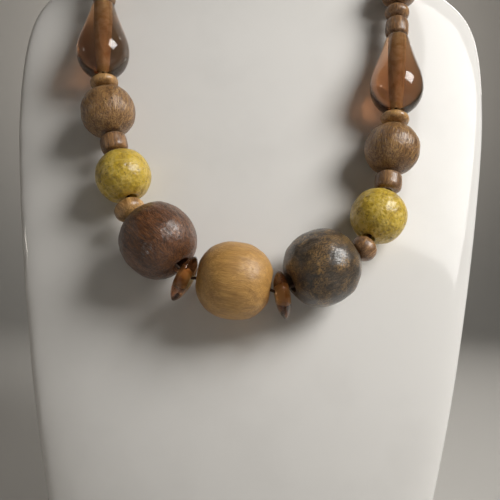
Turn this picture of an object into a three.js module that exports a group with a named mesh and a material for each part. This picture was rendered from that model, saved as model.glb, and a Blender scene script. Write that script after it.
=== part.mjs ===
// Beaded necklace on a plain neck bust.
// Millimetres, +Z up. The origin is the middle of the bust's flat foot, the chest faces -Y.
import * as THREE from 'three';

// Bust
const BUST_HEIGHT = 256;
const BUST_WIDTH = 177;
const BUST_DEPTH = 112;
const BUST_FRONT = 44.5; // from the origin forward to the front of the foot, half the foot's depth
const CHEST_CROWN = 5.5; // how far the middle of the chest stands in front of its edge roll
const CHEST_ROLL = 9; // depth of the rounded edge that turns the chest into the side
const NECK_FRONT_DEPTH = 27; // from the widest line of the neck forward to its front
const EDGE_ROUND = 3; // small round at the foot and at the neck's top
const FRONT_STEPS = 24;
const BACK_STEPS = 14;
const ROWS_PER_SECTION = 2;

// Beads: length is measured along the thread, hole is the drilled diameter
const SIDES = 16;
const SMALL_SIDES = 12;
const LARGE = { diameter: 25, length: 23.5, hole: 5.6, flat: 0.34 };
const GRAINED = { diameter: 19.4, length: 17.6, hole: 3.6, flat: 0.36 };
const STONE = { diameter: 18.9, length: 17.6, hole: 3.6, flat: 0.3 };
const TEARDROP = { diameter: 18.6, length: 31.6, hole: 3.4 };
const DISC = { diameter: 15.4, length: 4.5, hole: 5 };
const RONDELLE = { diameter: 10.1, length: 4.6, hole: 2.6, flat: 0.5 };
const CYLINDER_LOW = { diameter: 9.4, length: 6.4, hole: 2.6 };
const CYLINDER_HIGH = { diameter: 8.8, length: 7.4, hole: 2.6 };
const SMALL_TAN = { diameter: 10.6, length: 6.4, hole: 3.4, flat: 0.42 };
const SMALL_BROWN = { diameter: 8.9, length: 7, hole: 3, flat: 0.42 };
const SMALL_HIGH = { diameter: 9.3, length: 5.8, hole: 3.2, flat: 0.45 };
const TOP_WOOD = { diameter: 14.2, length: 13, hole: 3.6, flat: 0.36 };
const HIDDEN = { diameter: 11.6, length: 11, hole: 3.2, flat: 0.38 }; // as long as fills the stretch evenly

const BEAD_GAP = 0.35; // air between neighbouring beads
const TURN_GAP = 0.9; // more air between hidden beads, so that their flats clear where it turns
const REST_GAP = 0.3; // air between a bead and the bust
const DISC_SLUMP = 4.1; // the big beads squeeze the discs out of the bend by this much
const SMALL_SLUMP = 2; // and the small low beads by this much

// Thread and clasp
const THREAD_DIAMETER = 1;
const THREAD_SIDES = 8;
const THREAD_STEPS = 80;
const CLASP = { diameter: 5.4, length: 13, hole: 2.4 };
const THREAD_END_GAP = 1.2; // between the two ends of the thread, inside the clasp

// Route of the string, chosen by hand from the left shoulder down and up to the right one, and
// plainly round the back. across, depth and height are shares of the bust's half width, depth and
// height. Each row is moved along its push direction until a ball as wide as the row's bead, and
// with the row's lift, just rests on the bust.
const ROUTE = [
  { name: 'back', across: 0, depth: 0.478, height: 0.867, push: [0, 1, 0], bead: HIDDEN, lift: 0.1 },
  { name: 'nape left', across: -0.215, depth: 0.478, height: 0.871, push: [-0.15, 1, 0], bead: HIDDEN, lift: 0.1 },
  { name: 'corner left', across: -0.395, depth: 0.496, height: 0.867, push: [-0.5, 1, 0.5], bead: HIDDEN, lift: 0.2 },
  { name: 'flank left', across: -0.508, depth: 0.424, height: 0.859, push: [-0.7, 0.3, 1], bead: HIDDEN, lift: 0.4 },
  { name: 'crest left', across: -0.576, depth: 0.281, height: 0.856, push: [-0.3, 0.05, 1], bead: HIDDEN, lift: 1 },
  { name: 'shoulder left', across: -0.622, depth: 0.156, height: 0.828, push: [-0.1, -0.7, 1], bead: TOP_WOOD, lift: 0.5 },
  { name: 'collar left', across: -0.628, depth: 0, height: 0.777, push: [0, -1, 0], bead: TOP_WOOD, lift: 0.5 },
  { name: 'teardrop left', across: -0.603, depth: 0, height: 0.69, push: [0, -1, 0], bead: TEARDROP, lift: 0.9 },
  { name: 'grained left', across: -0.557, depth: 0, height: 0.604, push: [0, -1, 0], bead: GRAINED, lift: 0 },
  { name: 'stone left', across: -0.468, depth: 0, height: 0.512, push: [0, -1, 0], bead: STONE, lift: 0 },
  { name: 'dark left', across: -0.31, depth: 0, height: 0.429, push: [0, -1, 0], bead: LARGE, lift: 0 },
  { name: 'tan', across: -0.042, depth: 0, height: 0.388, push: [0, -1, 0], bead: LARGE, lift: 0 },
  { name: 'dark right', across: 0.255, depth: 0, height: 0.404, push: [0, -1, 0], bead: LARGE, lift: 0 },
  { name: 'stone right', across: 0.484, depth: 0, height: 0.47, push: [0, -1, 0], bead: STONE, lift: 0 },
  { name: 'grained right', across: 0.545, depth: 0, height: 0.562, push: [0, -1, 0], bead: GRAINED, lift: 0 },
  { name: 'teardrop right', across: 0.574, depth: 0, height: 0.647, push: [0, -1, 0], bead: TEARDROP, lift: 0.9 },
  { name: 'collar right', across: 0.597, depth: 0, height: 0.766, push: [0, -1, 0], bead: TOP_WOOD, lift: 0.5 },
  { name: 'shoulder right', across: 0.61, depth: 0.156, height: 0.828, push: [0.1, -0.7, 1], bead: TOP_WOOD, lift: 0.5 },
  { name: 'crest right', across: 0.576, depth: 0.281, height: 0.856, push: [0.3, 0.05, 1], bead: HIDDEN, lift: 1 },
  { name: 'flank right', across: 0.508, depth: 0.424, height: 0.859, push: [0.7, 0.3, 1], bead: HIDDEN, lift: 0.4 },
  { name: 'corner right', across: 0.395, depth: 0.496, height: 0.867, push: [0.5, 1, 0.5], bead: HIDDEN, lift: 0.2 },
  { name: 'nape right', across: 0.215, depth: 0.478, height: 0.871, push: [0.15, 1, 0], bead: HIDDEN, lift: 0.1 },
];
const CENTRE_ROW = 'tan';

// Finishes
const WHITE_PLASTIC = { color: 0xdedad2, roughness: 0.25, metalness: 0 };
const TAN_WOOD = { color: 0xb98d50, roughness: 0.4, metalness: 0 };
const GRAINED_WOOD = { color: 0x8c6b43, roughness: 0.45, metalness: 0 };
const BROWN_WOOD = { color: 0x503a2e, roughness: 0.35, metalness: 0 };
const BLACK_WOOD = { color: 0x463f34, roughness: 0.45, metalness: 0 };
const SMALL_WOOD = { color: 0x694b37, roughness: 0.3, metalness: 0 };
const YELLOW_STONE = { color: 0xa5923a, roughness: 0.25, metalness: 0 };
const AMBER_RESIN = { color: 0x7a4a26, roughness: 0.1, metalness: 0 };
const CORD = { color: 0x3a2c22, roughness: 0.8, metalness: 0 };
const DULL_BRASS = { color: 0x8a6f3c, roughness: 0.4, metalness: 0.9 };

// Sections of the bust from the foot to the neck's top. height, width, front and back are shares
// of the bust's height, width and depth; collar runs from 0 on the chest to 1 on the round neck.
const BUST_SECTIONS = [
  { height: 0.0, width: 0.665, front: 0.0, back: 0.795, collar: 0 },
  { height: 0.1, width: 0.712, front: 0.004, back: 0.8, collar: 0 },
  { height: 0.235, width: 0.79, front: 0.04, back: 0.81, collar: 0 },
  { height: 0.39, width: 0.878, front: 0.142, back: 0.835, collar: 0 },
  { height: 0.5, width: 0.938, front: 0.236, back: 0.87, collar: 0 },
  { height: 0.6, width: 0.984, front: 0.322, back: 0.905, collar: 0 },
  { height: 0.69, width: 1.0, front: 0.398, back: 0.942, collar: 0 },
  { height: 0.75, width: 0.988, front: 0.448, back: 0.966, collar: 0.01 },
  { height: 0.79, width: 0.942, front: 0.475, back: 0.978, collar: 0.08 },
  { height: 0.822, width: 0.846, front: 0.493, back: 0.984, collar: 0.26 },
  { height: 0.849, width: 0.708, front: 0.503, back: 0.988, collar: 0.54 },
  { height: 0.873, width: 0.585, front: 0.507, back: 0.99, collar: 0.8 },
  { height: 0.905, width: 0.505, front: 0.508, back: 0.992, collar: 0.96 },
  { height: 0.945, width: 0.475, front: 0.505, back: 0.996, collar: 1 },
  { height: 1.0, width: 0.468, front: 0.5, back: 1.0, collar: 1 },
];

function sectionOutline(section, inset) {
  const half = (section.width * BUST_WIDTH) / 2 - inset;
  const front = section.front * BUST_DEPTH - BUST_FRONT + inset;
  const back = section.back * BUST_DEPTH - BUST_FRONT - inset;
  const crown = CHEST_CROWN * (1 - section.collar);
  const roll = CHEST_ROLL + (NECK_FRONT_DEPTH - CHEST_ROLL) * section.collar;
  const widest = front + crown + roll - inset;
  const frontPower = 6 - 4 * section.collar;
  const backPower = 5 - 3 * section.collar;
  const points = [];
  for (let i = 0; i < FRONT_STEPS; i += 1) {
    const share = Math.sin(-Math.PI / 2 + (Math.PI * i) / FRONT_STEPS);
    const bulge = (1 - Math.abs(share) ** frontPower) ** (1 / frontPower);
    const depth = crown * (1 - share * share) + (roll - inset) * bulge;
    points.push([half * share, widest - depth]);
  }
  for (let i = 0; i < BACK_STEPS; i += 1) {
    const share = Math.cos((Math.PI * i) / BACK_STEPS);
    const bulge = (1 - Math.abs(share) ** backPower) ** (1 / backPower);
    points.push([half * share, widest + (back - widest) * bulge]);
  }
  return points;
}

// A smooth step between two rows of the table, share 0 to 1 from the second row to the third
function blendRows(rows, share) {
  const [before, from, to, after] = rows;
  const blended = {};
  for (const column of Object.keys(from)) {
    const startSlope = (to[column] - before[column]) / 2;
    const endSlope = (after[column] - from[column]) / 2;
    const rise = to[column] - from[column];
    blended[column] = from[column] + startSlope * share
      + (3 * rise - 2 * startSlope - endSlope) * share ** 2
      + (startSlope + endSlope - 2 * rise) * share ** 3;
  }
  return blended;
}

function bustRows() {
  const count = BUST_SECTIONS.length;
  const first = BUST_SECTIONS[0];
  const last = BUST_SECTIONS[count - 1];
  const rows = [];
  for (const turn of [0, 0.5, 1]) {
    const angle = (turn * Math.PI) / 2;
    const outline = sectionOutline(first, EDGE_ROUND * (1 - Math.sin(angle)));
    rows.push({ z: EDGE_ROUND * (1 - Math.cos(angle)), outline });
  }
  for (let i = 0; i < count - 1; i += 1) {
    const near = [i - 1, i, i + 1, i + 2].map((k) => BUST_SECTIONS[Math.min(count - 1, Math.max(0, k))]);
    for (let step = 0; step < ROWS_PER_SECTION; step += 1) {
      if (i + step === 0) continue;
      const section = blendRows(near, step / ROWS_PER_SECTION);
      rows.push({ z: section.height * BUST_HEIGHT, outline: sectionOutline(section, 0) });
    }
  }
  for (const turn of [1, 0.5, 0]) {
    const angle = (turn * Math.PI) / 2;
    const outline = sectionOutline(last, EDGE_ROUND * (1 - Math.sin(angle)));
    rows.push({ z: last.height * BUST_HEIGHT - EDGE_ROUND * (1 - Math.cos(angle)), outline });
  }
  return rows;
}

// A closed skin over stacked outlines with the same number of points, with a flat cap at each end.
function loftGeometry(rows) {
  const count = rows[0].outline.length;
  const positions = [];
  const index = [];
  for (const row of rows) {
    for (const [x, y] of row.outline) positions.push(x, y, row.z);
  }
  for (let r = 0; r < rows.length - 1; r += 1) {
    for (let i = 0; i < count; i += 1) {
      const a = r * count + i;
      const b = r * count + ((i + 1) % count);
      index.push(a, b, b + count, a, b + count, a + count);
    }
  }
  for (const [r, flip] of [[0, true], [rows.length - 1, false]]) {
    const outline = rows[r].outline;
    const centre = positions.length / 3;
    const meanY = outline.reduce((sum, p) => sum + p[1], 0) / count;
    positions.push(0, meanY, rows[r].z);
    for (let i = 0; i < count; i += 1) {
      const a = r * count + i;
      const b = r * count + ((i + 1) % count);
      index.push(...(flip ? [centre, b, a] : [centre, a, b]));
    }
  }
  const geometry = new THREE.BufferGeometry();
  geometry.setAttribute('position', new THREE.Float32BufferAttribute(positions, 3));
  geometry.setIndex(index);
  geometry.computeVertexNormals();
  return geometry;
}

// Outer outlines of the beads as [along, radius] pairs, from one drilled end to the other
function roundOutline(size) {
  const { diameter, length, flat } = size;
  const radius = diameter / 2;
  const power = 2.2;
  const reach = length / 2 / (1 - flat ** power) ** (1 / power);
  const lastAngle = Math.asin((length / 2 / reach) ** (power / 2));
  const steps = 8;
  const outline = [];
  for (let i = 0; i <= steps; i += 1) {
    const angle = lastAngle * ((2 * i) / steps - 1);
    const along = reach * Math.sign(angle) * Math.abs(Math.sin(angle)) ** (2 / power);
    outline.push([along, radius * Math.cos(angle) ** (2 / power)]);
  }
  return outline;
}

function shareOutline(size, shares) {
  const { diameter, length } = size;
  return shares.map(([along, wide]) => [(along - 0.5) * length, (wide * diameter) / 2]);
}

const BARREL_SHARES = [[0, 0.72], [0.08, 0.9], [0.25, 0.985], [0.5, 1], [0.75, 0.985], [0.92, 0.9], [1, 0.72]];
const DISC_SHARES = [[0, 0.4], [0.06, 0.58], [0.22, 0.82], [0.4, 0.965], [0.5, 1], [0.6, 0.965], [0.78, 0.82],
  [0.94, 0.58], [1, 0.4]];
const TEARDROP_SHARES = [[0, 0.3], [0.035, 0.54], [0.1, 0.77], [0.19, 0.935], [0.3, 1], [0.42, 0.96],
  [0.55, 0.84], [0.7, 0.68], [0.85, 0.535], [0.96, 0.445], [1, 0.37]];

const KINDS = {
  large: { size: LARGE, outline: roundOutline(LARGE), sides: SIDES },
  grained: { size: GRAINED, outline: roundOutline(GRAINED), sides: SIDES },
  stone: { size: STONE, outline: roundOutline(STONE), sides: SIDES },
  teardrop: { size: TEARDROP, outline: shareOutline(TEARDROP, TEARDROP_SHARES), sides: SIDES },
  disc: { size: DISC, outline: shareOutline(DISC, DISC_SHARES), sides: SIDES },
  rondelle: { size: RONDELLE, outline: roundOutline(RONDELLE), sides: SMALL_SIDES },
  cylinderLow: { size: CYLINDER_LOW, outline: shareOutline(CYLINDER_LOW, BARREL_SHARES), sides: SMALL_SIDES },
  cylinderHigh: { size: CYLINDER_HIGH, outline: shareOutline(CYLINDER_HIGH, BARREL_SHARES), sides: SMALL_SIDES },
  smallTan: { size: SMALL_TAN, outline: roundOutline(SMALL_TAN), sides: SMALL_SIDES },
  smallBrown: { size: SMALL_BROWN, outline: roundOutline(SMALL_BROWN), sides: SMALL_SIDES },
  smallHigh: { size: SMALL_HIGH, outline: roundOutline(SMALL_HIGH), sides: SMALL_SIDES },
  topWood: { size: TOP_WOOD, outline: roundOutline(TOP_WOOD), sides: SIDES },
  clasp: { size: CLASP, outline: shareOutline(CLASP, BARREL_SHARES), sides: SMALL_SIDES },
};

// The beads of one side, from the centre bead up to the shoulder. tip turns a teardrop's narrow
// end up the string, slump is how far the bend pushes the bead outward.
function sideBeads(side, smallKind, smallWood) {
  return [
    { name: `amber_disc_${side}`, kind: KINDS.disc, slump: DISC_SLUMP, finish: AMBER_RESIN },
    { name: `dark_wood_bead_${side}`, kind: KINDS.large, finish: side === 'left' ? BROWN_WOOD : BLACK_WOOD },
    { name: `small_bead_low_${side}`, kind: smallKind, slump: SMALL_SLUMP, finish: smallWood },
    { name: `yellow_stone_bead_${side}`, kind: KINDS.stone, finish: YELLOW_STONE },
    { name: `cylinder_bead_low_${side}`, kind: KINDS.cylinderLow, finish: SMALL_WOOD },
    { name: `grained_wood_bead_${side}`, kind: KINDS.grained, finish: GRAINED_WOOD },
    { name: `rondelle_bead_${side}`, kind: KINDS.rondelle, finish: TAN_WOOD },
    { name: `teardrop_bead_${side}`, kind: KINDS.teardrop, finish: AMBER_RESIN },
    { name: `cylinder_bead_high_${side}`, kind: KINDS.cylinderHigh, finish: SMALL_WOOD },
    { name: `small_bead_high_${side}`, kind: KINDS.smallHigh, finish: SMALL_WOOD },
    { name: `top_wood_bead_${side}`, kind: KINDS.topWood, finish: SMALL_WOOD },
  ];
}

const bustGeometry = loftGeometry(bustRows());

const bustTriangles = (() => {
  const position = bustGeometry.getAttribute('position');
  const index = bustGeometry.getIndex();
  const triangles = [];
  for (let i = 0; i < index.count; i += 3) {
    const corners = [0, 1, 2].map((k) => new THREE.Vector3().fromBufferAttribute(position, index.getX(i + k)));
    triangles.push(new THREE.Triangle(...corners));
  }
  return triangles;
})();

function nearestOnBust(point) {
  const found = new THREE.Vector3();
  const nearest = new THREE.Vector3();
  let best = Infinity;
  for (const triangle of bustTriangles) {
    triangle.closestPointToPoint(point, found);
    const distance = found.distanceTo(point);
    if (distance < best) {
      best = distance;
      nearest.copy(found);
    }
  }
  return { nearest, distance: best };
}

// Comes in from outside against the row's push direction until its ball rests on the bust
function restOnBust(row) {
  const radius = row.bead.diameter / 2 + row.lift;
  const direction = new THREE.Vector3(...row.push).normalize();
  const point = new THREE.Vector3((row.across * BUST_WIDTH) / 2, row.depth * BUST_DEPTH, row.height * BUST_HEIGHT);
  point.addScaledVector(direction, BUST_HEIGHT);
  for (let i = 0; i < 200; i += 1) {
    const room = nearestOnBust(point).distance - radius - REST_GAP;
    point.addScaledVector(direction, -room);
    if (room < 0.001) break;
  }
  return point;
}

const routePoints = ROUTE.map(restOnBust);
const route = new THREE.CatmullRomCurve3(routePoints, true, 'centripetal');
route.arcLengthDivisions = 2000;
const routeLength = route.getLength();

function arcOfRow(name) {
  const row = ROUTE.findIndex((entry) => entry.name === name);
  const lengths = route.getLengths();
  return lengths[Math.round((row / ROUTE.length) * (lengths.length - 1))];
}

function routeAt(arc) {
  return route.getPointAt((((arc / routeLength) % 1) + 1) % 1);
}

// A bead at an arc length, turned along the route, pushed out of the bend by its slump and off
// the bust where it would sink in. way is 1 towards the right shoulder and -1 towards the left.
function placeBead(bead, arc, way) {
  const { length, diameter } = bead.kind.size;
  const point = routeAt(arc);
  const before = routeAt(arc - (way * length) / 2);
  const after = routeAt(arc + (way * length) / 2);
  const axis = after.clone().sub(before).normalize();
  const centre = before.add(after).multiplyScalar(0.5).lerp(point, 0.5);
  if (bead.slump) {
    const chord = routeAt(arc - diameter).add(routeAt(arc + diameter)).multiplyScalar(0.5);
    centre.addScaledVector(point.clone().sub(chord).normalize(), bead.slump);
  }
  const widest = bead.kind.outline.reduce((a, b) => (b[1] > a[1] ? b : a));
  const belly = length > diameter * 1.5 ? widest[0] : 0;
  const ball = centre.clone().addScaledVector(axis, belly);
  const { nearest, distance } = nearestOnBust(ball);
  const lack = diameter / 2 + REST_GAP - distance;
  if (lack > 0) centre.addScaledVector(ball.sub(nearest).normalize(), lack);
  return { ...bead, arc, centre, axis };
}

function distanceToOutline(outline, along, radius) {
  let best = Infinity;
  let inside = along > outline[0][0] && along < outline[outline.length - 1][0];
  const closed = [[outline[0][0], 0], ...outline, [outline[outline.length - 1][0], 0]];
  for (let i = 0; i < closed.length - 1; i += 1) {
    const [a0, r0] = closed[i];
    const [a1, r1] = closed[i + 1];
    const span = (a1 - a0) ** 2 + (r1 - r0) ** 2;
    const share = Math.min(1, Math.max(0, ((along - a0) * (a1 - a0) + (radius - r0) * (r1 - r0)) / span));
    best = Math.min(best, Math.hypot(along - a0 - share * (a1 - a0), radius - r0 - share * (r1 - r0)));
    if (along >= a0 && along < a1 && radius > r0 + ((along - a0) / (a1 - a0)) * (r1 - r0)) inside = false;
  }
  return inside ? -best : best;
}

// The smallest distance from the rings of one bead to the other bead's outline
function ringsToBead(rings, other) {
  const side = new THREE.Vector3().crossVectors(rings.axis, new THREE.Vector3(0.3, 0.5, 0.8)).normalize();
  const up = new THREE.Vector3().crossVectors(rings.axis, side);
  let best = Infinity;
  for (const [along, radius] of rings.kind.outline) {
    for (let i = 0; i < SIDES; i += 1) {
      const angle = (2 * Math.PI * i) / SIDES;
      const point = rings.centre.clone().addScaledVector(rings.axis, along)
        .addScaledVector(side, radius * Math.cos(angle)).addScaledVector(up, radius * Math.sin(angle))
        .sub(other.centre);
      const reach = point.dot(other.axis);
      const off = Math.sqrt(Math.max(0, point.lengthSq() - reach * reach));
      best = Math.min(best, distanceToOutline(other.kind.outline, reach, off));
    }
  }
  return best;
}

function room(bead, placed) {
  const near = placed.slice(-2);
  return Math.min(...near.map((other) => Math.min(ringsToBead(bead, other), ringsToBead(other, bead))));
}

// Slides the next bead up against the ones before it
function threadNext(bead, placed, way) {
  const before = placed[placed.length - 1];
  const reach = (before.kind.size.length + bead.kind.size.length) / 2;
  let low = reach * 0.4;
  let high = reach + bead.kind.size.diameter;
  for (let i = 0; i < 16; i += 1) {
    const middle = (low + high) / 2;
    const tried = placeBead(bead, before.arc + way * middle, way);
    if (room(tried, placed) < BEAD_GAP) low = middle;
    else high = middle;
  }
  return placeBead(bead, before.arc + way * high, way);
}

function threadSide(beads, centreBead, way) {
  const placed = [centreBead];
  for (const bead of beads) placed.push(threadNext(bead, placed, way));
  return placed.slice(1);
}

const centreBead = placeBead(
  { name: 'tan_centre_bead', kind: KINDS.large, finish: TAN_WOOD },
  arcOfRow(CENTRE_ROW),
  1,
);
const leftBeads = threadSide(sideBeads('left', KINDS.smallTan, TAN_WOOD), centreBead, -1);
const rightBeads = threadSide(sideBeads('right', KINDS.smallBrown, SMALL_WOOD), centreBead, 1);

// The hidden stretch is filled with plain round beads, evenly spaced, with the clasp half way
function hiddenBeads() {
  const start = rightBeads[rightBeads.length - 1];
  const end = leftBeads[leftBeads.length - 1];
  const endGap = (BEAD_GAP + TURN_GAP) / 2;
  const first = start.arc + start.kind.size.length / 2 + endGap;
  const last = routeLength + end.arc - end.kind.size.length / 2 - endGap;
  const claspPlace = CLASP.length + BEAD_GAP;
  const stretch = (last - first - claspPlace) / 2;
  const perSide = Math.round(stretch / (HIDDEN.length + BEAD_GAP + TURN_GAP));
  const pitch = stretch / perSide;
  const size = { ...HIDDEN, length: pitch - BEAD_GAP - TURN_GAP };
  const kind = { size, outline: roundOutline(size), sides: SMALL_SIDES };
  const beads = [];
  for (let i = 0; i < perSide; i += 1) {
    const name = `hidden_bead_right_${i + 1}`;
    beads.push(placeBead({ name, kind, finish: SMALL_WOOD }, first + pitch * (i + 0.5), 1));
  }
  beads.push(placeBead({ name: 'clasp', kind: KINDS.clasp, finish: DULL_BRASS }, (first + last) / 2, 1));
  for (let i = perSide - 1; i >= 0; i -= 1) {
    const name = `hidden_bead_left_${i + 1}`;
    beads.push(placeBead({ name, kind, finish: SMALL_WOOD }, last - pitch * (i + 0.5), 1));
  }
  return beads;
}

// All pieces on the thread, in order from the clasp round the front and back to the clasp
function stringOrder() {
  const hidden = hiddenBeads();
  const claspAt = hidden.findIndex((bead) => bead.name === 'clasp');
  const left = leftBeads.map((bead) => ({ ...bead, threaded: bead.axis.clone().negate() })).reverse();
  const order = [
    ...hidden.slice(claspAt),
    ...left,
    centreBead,
    ...rightBeads,
    ...hidden.slice(0, claspAt),
  ];
  return order.map((bead) => ({ threaded: bead.axis, ...bead }));
}

function beadMesh(bead) {
  const { size, outline, sides } = bead.kind;
  const bore = size.hole / 2;
  const first = outline[0];
  const last = outline[outline.length - 1];
  const ring = [...outline, [last[0], bore], [first[0], bore], first];
  const points = ring.map(([along, radius]) => new THREE.Vector2(radius, along));
  const geometry = new THREE.LatheGeometry(points, sides);
  const mesh = new THREE.Mesh(geometry, new THREE.MeshStandardMaterial(bead.finish));
  mesh.name = bead.name;
  mesh.position.copy(bead.centre);
  mesh.quaternion.setFromUnitVectors(new THREE.Vector3(0, 1, 0), bead.axis);
  return mesh;
}

function threadMesh(order) {
  const onAxis = (bead, along) => bead.centre.clone().addScaledVector(bead.threaded, along);
  const clasp = order[0];
  const points = [onAxis(clasp, THREAD_END_GAP / 2)];
  order.forEach((bead, i) => {
    const next = order[(i + 1) % order.length];
    const { length, hole } = bead.kind.size;
    const play = (hole - THREAD_DIAMETER) / (hole + next.kind.size.hole - 2 * THREAD_DIAMETER);
    if (i > 0 && !bead.slump) points.push(onAxis(bead, -length / 4), onAxis(bead, length / 4));
    points.push(onAxis(bead, length / 2).lerp(onAxis(next, -next.kind.size.length / 2), play));
  });
  points.push(onAxis(clasp, -THREAD_END_GAP / 2));
  const path = new THREE.CatmullRomCurve3(points, false, 'centripetal');
  path.arcLengthDivisions = 2000;
  const section = new THREE.Shape(new THREE.EllipseCurve(
    0, 0, THREAD_DIAMETER / 2, THREAD_DIAMETER / 2,
  ).getPoints(THREAD_SIDES).slice(0, -1));
  const geometry = new THREE.ExtrudeGeometry(section, {
    steps: THREAD_STEPS,
    bevelEnabled: false,
    extrudePath: path,
  });
  const mesh = new THREE.Mesh(geometry, new THREE.MeshStandardMaterial(CORD));
  mesh.name = 'thread';
  return mesh;
}

function bustMesh() {
  const mesh = new THREE.Mesh(bustGeometry, new THREE.MeshStandardMaterial(WHITE_PLASTIC));
  mesh.name = 'neck_bust';
  return mesh;
}

const necklace = new THREE.Group();
const order = stringOrder();
necklace.add(threadMesh(order), ...order.map(beadMesh));

const model = new THREE.Group();
model.add(bustMesh(), necklace);

export default model;
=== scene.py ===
"""Beaded necklace on a plain neck bust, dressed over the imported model.

Every length named with mm is in millimetres, everything else is in metres.
"""
import logging
import math
from collections import Counter
from dataclasses import dataclass, field
from enum import Enum

import bpy
from mathutils import Matrix, Vector


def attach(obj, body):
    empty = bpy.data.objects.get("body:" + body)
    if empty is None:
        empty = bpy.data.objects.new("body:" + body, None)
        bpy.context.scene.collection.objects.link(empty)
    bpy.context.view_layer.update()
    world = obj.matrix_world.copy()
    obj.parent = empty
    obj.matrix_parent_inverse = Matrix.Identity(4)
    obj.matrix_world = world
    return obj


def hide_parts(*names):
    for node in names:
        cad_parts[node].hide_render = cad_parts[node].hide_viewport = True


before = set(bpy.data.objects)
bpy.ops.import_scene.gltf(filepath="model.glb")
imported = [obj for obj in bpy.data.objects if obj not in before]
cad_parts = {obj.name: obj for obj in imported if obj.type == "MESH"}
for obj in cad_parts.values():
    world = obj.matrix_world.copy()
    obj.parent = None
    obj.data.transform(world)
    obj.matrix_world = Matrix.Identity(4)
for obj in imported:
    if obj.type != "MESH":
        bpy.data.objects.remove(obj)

LOG = logging.getLogger("necklace")
MM = 0.001
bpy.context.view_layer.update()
LOCAL_MM = "turned_mm"  # each bead's own coordinates in millimetres, with its drilling along Z
RESIN_IOR = 1.52
WELD = 0.01 * MM  # points closer than this become one


def linear(hex_colour: str) -> tuple[float, float, float, float]:
    """Turn an sRGB hex colour into linear RGBA.

    Args:
        hex_colour: six hex digits.

    Returns:
        Linear red, green, blue and an alpha of 1.
    """
    shares = [int(hex_colour[i:i + 2], 16) / 255 for i in (0, 2, 4)]
    return (*(c / 12.92 if c <= 0.04045 else ((c + 0.055) / 1.055) ** 2.4 for c in shares), 1.0)


def add_node(tree: bpy.types.NodeTree, kind: str, settings: dict | None = None,
             inputs: dict | None = None) -> bpy.types.Node:
    """Add a shader node with its settings, values and links.

    Args:
        tree: the node tree that it goes into.
        kind: the node's type, without the leading ShaderNode.
        settings: properties of the node by name.
        inputs: by socket name or number, a value or an output socket to link.

    Returns:
        The new node.
    """
    node = tree.nodes.new(f"ShaderNode{kind}")
    for name, value in (settings or {}).items():
        setattr(node, name, value)
    for name, value in (inputs or {}).items():
        if isinstance(value, bpy.types.NodeSocket):
            tree.links.new(value, node.inputs[name])
        else:
            node.inputs[name].default_value = value
    return node


def add_ramp(tree: bpy.types.NodeTree, factor: bpy.types.NodeSocket,
             stops: list[tuple[float, str]]) -> bpy.types.NodeSocket:
    """Colour a value by a ramp.

    Args:
        tree: the node tree.
        factor: the value from 0 to 1.
        stops: place and sRGB hex colour of each stop.

    Returns:
        The ramp's colour output.
    """
    node = add_node(tree, "ValToRGB", inputs={"Fac": factor})
    elements = node.color_ramp.elements
    while len(elements) < len(stops):
        elements.new(0.5)
    for element, (place, colour) in zip(elements, stops):
        element.position = place
        element.color = linear(colour)
    return node.outputs["Color"]


def stretched(tree: bpy.types.NodeTree, source: bpy.types.NodeSocket, across_mm: float,
              along_mm: float) -> bpy.types.NodeSocket:
    """Scale coordinates so that one pattern step has a given size.

    Args:
        tree: the node tree.
        source: the coordinates.
        across_mm: the step's width, in the units of the coordinates.
        along_mm: the step's length along the drilling.

    Returns:
        The scaled coordinates.
    """
    scale = (1 / across_mm, 1 / across_mm, 1 / along_mm)
    return add_node(tree, "Mapping", inputs={"Vector": source, "Scale": scale}).outputs["Vector"]


def noise(tree: bpy.types.NodeTree, vector: bpy.types.NodeSocket, detail: float = 3.0,
          roughness: float = 0.55, distortion: float = 0.0) -> bpy.types.NodeSocket:
    """Add noise with a step of one unit of the given coordinates.

    Args:
        tree: the node tree.
        vector: the coordinates.
        detail: octaves of finer noise.
        roughness: weight of the finer noise.
        distortion: how far the pattern is bent.

    Returns:
        The noise value.
    """
    values = {"Vector": vector, "Scale": 1.0, "Detail": detail, "Roughness": roughness,
              "Distortion": distortion}
    return add_node(tree, "TexNoise", inputs=values).outputs["Fac"]


def tinted(tree: bpy.types.NodeTree, factor: bpy.types.NodeSocket, low: bpy.types.NodeSocket | tuple,
           high: bpy.types.NodeSocket | tuple, blend: str = "MIX") -> bpy.types.NodeSocket:
    """Mix two colours, each an output socket or linear RGBA.

    Args:
        tree: the node tree.
        factor: share of the second colour.
        low: the first colour.
        high: the second colour.
        blend: how they are mixed.

    Returns:
        The mixed colour.
    """
    node = add_node(tree, "Mix", {"data_type": "RGBA", "blend_type": blend},
                    {0: factor, 6: low, 7: high})
    return node.outputs[2]


def masked(tree: bpy.types.NodeTree, value: bpy.types.NodeSocket, low: float,
           high: float) -> bpy.types.NodeSocket:
    """Spread a value so that low becomes 0 and high becomes 1.

    Args:
        tree: the node tree.
        value: the value.
        low: what becomes 0.
        high: what becomes 1.

    Returns:
        The spread value, smooth at both ends.
    """
    node = add_node(tree, "MapRange", {"clamp": True, "interpolation_type": "SMOOTHSTEP"},
                    {"Value": value, "From Min": low, "From Max": high})
    return node.outputs["Result"]


def own_coordinates(tree: bpy.types.NodeTree) -> bpy.types.NodeSocket:
    """Read the bead's own coordinates, in millimetres.

    Args:
        tree: the node tree.

    Returns:
        The coordinates, with the drilling along Z.
    """
    return add_node(tree, "Attribute", {"attribute_name": LOCAL_MM}).outputs["Vector"]


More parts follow.
